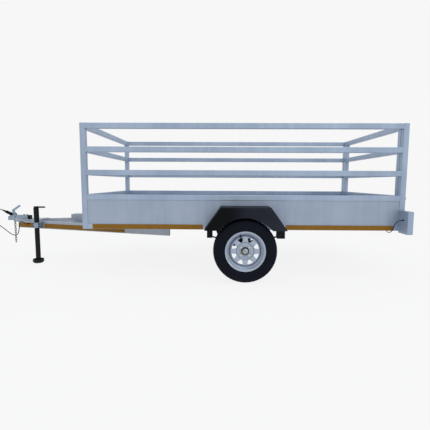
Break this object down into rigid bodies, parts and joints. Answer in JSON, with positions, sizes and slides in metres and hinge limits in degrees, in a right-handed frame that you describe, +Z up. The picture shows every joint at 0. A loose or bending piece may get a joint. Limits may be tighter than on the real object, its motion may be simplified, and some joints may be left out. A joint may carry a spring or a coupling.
{
  "type": "single-axle livestock trailer",
  "caption": "Single-axle livestock trailer with an open rail cage above sheet sides, a hinged rear gate, an A-frame drawbar, a ball coupler, a screw jack stand and moulded mudguards.",
  "frame": {"origin": "on the ground, below the middle of the trailer without its free lead and plug", "axes": "+X runs to the rear gate, the coupler is at -X, +Z is up; the trailer's left side, with the jack stand, is at -Y"},
  "size_m": [4.3902, 1.92, 1.44],
  "materials": {
    "galvanised": "hot-dip galvanised, matt with a fine grain",
    "galvanised_sheet": "galvanised sheet, satin",
    "reflective": "retroreflective tape",
    "silver_rim": "silver wheel paint",
    "tyre": "moulded rubber",
    "zinc": "zinc plated",
    "cast_steel": "zinc-plated pressing",
    "black_steel": "black paint, satin",
    "black_plastic": "moulded polypropylene",
    "leaf_steel": "black spring paint",
    "lamp_red": "clear red acrylic",
    "cable_black": "soft black sheath"
  },
  "bodies": {
    "chassis": {"chassis_side_rails": "galvanised", "cross_members": "galvanised", "corner_posts": "galvanised", "left_side_rails": "galvanised", "right_side_rails": "galvanised", "front_rails": "galvanised", "left_drawbar_arm": "galvanised", "right_drawbar_arm": "galvanised", "drawbar_brace": "galvanised", "nose_plate": "galvanised", "spare_carrier": "galvanised", "light_boxes": "galvanised", "floor_sheet": "galvanised_sheet", "side_panels": "galvanised_sheet", "reflective_tape": "reflective", "gate_post_hinges": "zinc", "latch_keeper": "zinc", "drawbar_bolts": "zinc", "jack_clamp": "zinc", "coupler_body": "cast_steel", "jack_tube": "black_steel", "main_leaves": "leaf_steel", "spring_hangers": "leaf_steel", "mudguard_stays": "leaf_steel", "left_mudguard": "black_plastic", "right_mudguard": "black_plastic", "junction_boxes": "black_plastic", "plug_holder": "black_plastic", "plug": "black_plastic", "cable_grommet": "black_plastic", "light_lenses": "lamp_red", "plug_cable": "cable_black", "left_light_cable": "cable_black", "right_light_cable": "cable_black"},
    "axle": {"axle_beam": "leaf_steel", "wheel_bearings": "zinc", "helper_leaves": "leaf_steel", "spring_clamps": "leaf_steel"},
    "left_wheel": {"left_rim": "silver_rim", "left_tyre": "tyre", "left_hub": "cast_steel", "left_wheel_bolts": "zinc", "left_dust_cap": "zinc"},
    "right_wheel": {"right_rim": "silver_rim", "right_tyre": "tyre", "right_hub": "cast_steel", "right_wheel_bolts": "zinc", "right_dust_cap": "zinc"},
    "gate": {"gate_frame": "galvanised", "gate_panel": "galvanised_sheet", "gate_knuckles": "zinc", "latch_guides": "zinc"},
    "latch": {"latch_bolt": "zinc"},
    "jack_crank_body": {"jack_crank": "black_steel", "jack_screw": "zinc"},
    "jack_leg_body": {"jack_leg": "black_steel", "jack_foot": "black_steel"},
    "lever": {"coupler_lever": "cast_steel"},
    "jaw": {"coupler_jaw": "cast_steel"},
    "chain": {"safety_chain": "zinc"}
  },
  "joints": [
    {"name": "axle_travel", "type": "slide", "parent": "chassis", "child": "axle", "axis": [0, 0, 1], "range_m": [-0.03, 0.035], "stiffness_N_per_m": 120000, "springref_m": -0.02, "deforming": ["main_leaves"]},
    {"name": "left_wheel_spin", "type": "hinge", "parent": "axle", "child": "left_wheel", "pos_m": [0.587, -0.86, 0.289], "axis": [0, 1, 0], "continuous": true},
    {"name": "right_wheel_spin", "type": "hinge", "parent": "axle", "child": "right_wheel", "pos_m": [0.587, 0.86, 0.289], "axis": [0, 1, 0], "continuous": true},
    {"name": "gate_swing", "type": "hinge", "parent": "chassis", "child": "gate", "pos_m": [2.079, 0.697, 0.6], "axis": [0, 0, 1], "range_deg": [0, 180]},
    {"name": "latch_slide", "type": "slide", "parent": "gate", "child": "latch", "axis": [0, -1, 0], "range_m": [0, 0.04]},
    {"name": "jack_crank_turn", "type": "hinge", "parent": "chassis", "child": "jack_crank_body", "pos_m": [-1.669, -0.207, 0.62], "axis": [0, 0, 1], "range_deg": [0, 14400]},
    {"name": "jack_leg_slide", "type": "slide", "parent": "chassis", "child": "jack_leg_body", "axis": [0, 0, 1], "range_m": [-0.24, 0]},
    {"name": "coupler_lever_turn", "type": "hinge", "parent": "chassis", "child": "lever", "pos_m": [-2.036, 0, 0.524], "axis": [0, 1, 0], "range_deg": [0, 38]},
    {"name": "coupler_jaw_turn", "type": "hinge", "parent": "chassis", "child": "jaw", "pos_m": [-2.018, 0, 0.495], "axis": [0, 1, 0], "range_deg": [0, 12]},
    {"name": "chain_swing", "type": "hinge", "parent": "chassis", "child": "chain", "pos_m": [-2.038, 0, 0.4439], "axis": [0, 1, 0], "range_deg": [-35, 50]}
  ],
  "couplings": [
    {"joint": "jack_crank_turn", "follows": "jack_leg_slide", "rad_per_m": -1047.2},
    {"joint": "coupler_jaw_turn", "follows": "coupler_lever_turn", "ratio": 0.3157}
  ]
}
